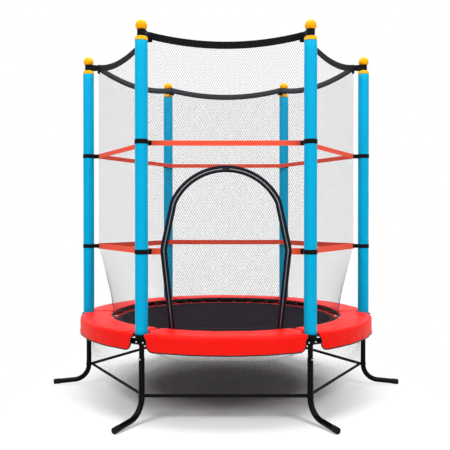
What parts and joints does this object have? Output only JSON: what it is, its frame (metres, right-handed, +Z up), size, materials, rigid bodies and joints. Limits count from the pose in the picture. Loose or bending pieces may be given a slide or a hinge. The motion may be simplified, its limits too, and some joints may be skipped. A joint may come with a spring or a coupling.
{
  "type": "trampoline",
  "caption": "Small round trampoline with padded poles, a netted enclosure with an arched zip door, a padded edge, a mat on elastic bands and a netted base on bent tube legs",
  "frame": {"origin": "on the floor, under the middle of the mat", "axes": "+Z up, the door faces -Y, and +X runs along the line through two opposite legs"},
  "size_m": [1.6942, 1.476, 1.6051],
  "materials": {
    "black_steel": "satin",
    "black_plastic": "satin",
    "blue_foam": "matte",
    "yellow_plastic": "gloss",
    "red_vinyl": "satin",
    "red_webbing": "matte",
    "black_webbing": "matte",
    "black_net": "matte",
    "black_mat": "matte"
  },
  "bodies": {
    "frame": {"frame_section_1": "black_steel", "frame_section_2": "black_steel", "frame_section_3": "black_steel", "frame_section_4": "black_steel", "frame_section_5": "black_steel", "frame_section_6": "black_steel", "leg_1": "black_steel", "leg_2": "black_steel", "leg_3": "black_steel", "leg_4": "black_steel", "leg_5": "black_steel", "leg_6": "black_steel", "foot_cap_1": "black_plastic", "foot_cap_2": "black_plastic", "foot_cap_3": "black_plastic", "foot_cap_4": "black_plastic", "foot_cap_5": "black_plastic", "foot_cap_6": "black_plastic", "pole_1": "black_steel", "pole_2": "black_steel", "pole_3": "black_steel", "pole_4": "black_steel", "pole_5": "black_steel", "pole_6": "black_steel", "foam_sleeve_1": "blue_foam", "foam_sleeve_2": "blue_foam", "foam_sleeve_3": "blue_foam", "foam_sleeve_4": "blue_foam", "foam_sleeve_5": "blue_foam", "foam_sleeve_6": "blue_foam", "pole_cap_1": "yellow_plastic", "pole_cap_2": "yellow_plastic", "pole_cap_3": "yellow_plastic", "pole_cap_4": "yellow_plastic", "pole_cap_5": "yellow_plastic", "pole_cap_6": "yellow_plastic", "edge_pad_1": "red_vinyl", "edge_pad_2": "red_vinyl", "edge_pad_3": "red_vinyl", "edge_pad_4": "red_vinyl", "edge_pad_5": "red_vinyl", "edge_pad_6": "red_vinyl", "net_panel_1": "black_net", "net_panel_2": "black_net", "net_panel_3": "black_net", "net_panel_4": "black_net", "net_panel_5": "black_net", "net_panel_6": "black_net", "top_border": "black_webbing", "upper_strap": "red_webbing", "lower_strap": "red_webbing", "lower_net": "black_net", "door_tape": "black_webbing", "elastic_bands": "red_webbing"},
    "mat_body": {"mat": "black_mat"},
    "door_body": {"door_flap": "black_net"},
    "slider_left_body": {"zip_slider_left": "black_plastic"},
    "slider_right_body": {"zip_slider_right": "black_plastic"}
  },
  "joints": [
    {"name": "mat_bounce", "type": "slide", "parent": "frame", "child": "mat_body", "axis": [0, 0, 1], "range_m": [-0.12, 0], "stiffness_N_per_m": 4000, "springref_m": 0.001, "deforming": ["elastic_bands"]},
    {"name": "door_fold", "type": "hinge", "parent": "frame", "child": "door_body", "pos_m": [0, -0.5484, 0.3612], "axis": [1, 0, 0], "range_deg": [0, 85]},
    {"name": "zip_left_run", "type": "hinge", "parent": "frame", "child": "slider_left_body", "pos_m": [0, -0.5413, 0.779], "axis": [0, -1, 0], "range_deg": [0, 56]},
    {"name": "zip_right_run", "type": "hinge", "parent": "frame", "child": "slider_right_body", "pos_m": [0, -0.5413, 0.779], "axis": [0, 1, 0], "range_deg": [0, 56]}
  ]
}
